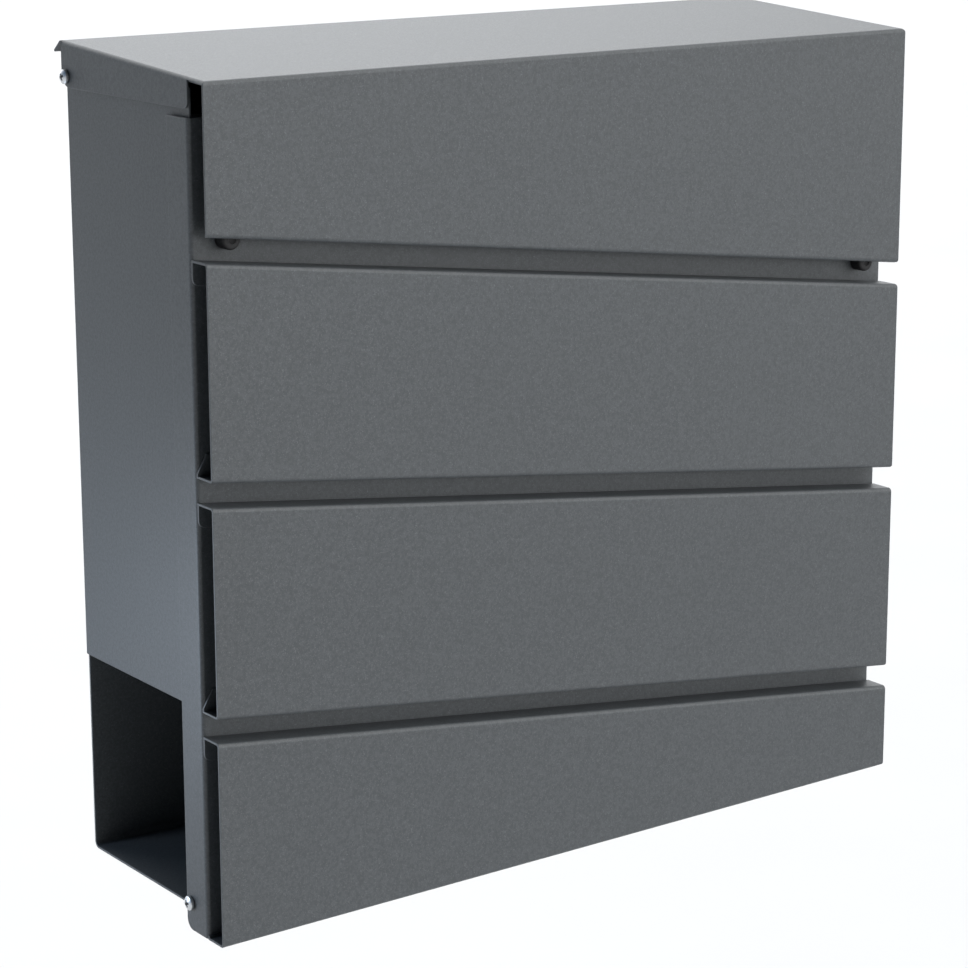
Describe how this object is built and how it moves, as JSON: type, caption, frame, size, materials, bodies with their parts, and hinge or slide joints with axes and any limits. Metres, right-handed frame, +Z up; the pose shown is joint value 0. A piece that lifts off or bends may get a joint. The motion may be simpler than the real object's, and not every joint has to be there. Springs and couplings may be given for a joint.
{
  "type": "wall letterbox",
  "caption": "Wall-hung sheet-steel letterbox with a lift-up lid, a bottom-hinged front door with slanted slats, a cam lock and an open newspaper compartment.",
  "frame": {"origin": "on the wall plane, in the middle of the four wall holes", "axes": "+Z up, +Y into the wall, the front with the slats faces -Y, +X to the right as seen from the front"},
  "size_m": [0.375, 0.1245, 0.36],
  "materials": {
    "powder_coat": "fine-textured matt powder coat in anthracite grey",
    "zinc": "bright zinc-plated steel",
    "rubber_black": "soft matt black rubber",
    "plastic_black": "matt black plastic",
    "lock_brass": "machined brass, nickel-plated at the front"
  },
  "bodies": {
    "housing": {"housing_shell": "powder_coat", "mail_shelf": "powder_coat", "front_rail": "powder_coat", "wall_spacers": "plastic_black", "lid_hinge_screws": "zinc", "lid_hinge_washers": "zinc", "lid_hinge_nuts": "zinc", "door_hinge_screws": "zinc", "door_hinge_washers": "zinc", "door_hinge_nuts": "zinc"},
    "lid": {"lid_sheet": "powder_coat"},
    "door": {"door_plate": "powder_coat", "slat_upper": "powder_coat", "slat_middle": "powder_coat", "slat_lower": "powder_coat", "bumper_left": "rubber_black", "bumper_right": "rubber_black", "lock_barrel": "zinc", "lock_washer": "zinc", "lock_nut": "zinc"},
    "lock": {"lock_plug": "lock_brass", "lock_wafers": "lock_brass", "lock_cam": "zinc", "cam_washer": "zinc", "cam_screw": "zinc"}
  },
  "joints": [
    {"name": "lid_hinge", "type": "hinge", "parent": "housing", "child": "lid", "pos_m": [0, -0.0155, 0.1655], "axis": [-1, 0, 0], "range_deg": [0, 50]},
    {"name": "door_hinge", "type": "hinge", "parent": "housing", "child": "door", "pos_m": [0, -0.0995, -0.168], "axis": [1, 0, 0], "range_deg": [0, 110]},
    {"name": "lock_turn", "type": "hinge", "parent": "door", "child": "lock", "pos_m": [0, -0.1095, 0.126], "axis": [0, -1, 0], "range_deg": [0, 90]}
  ]
}
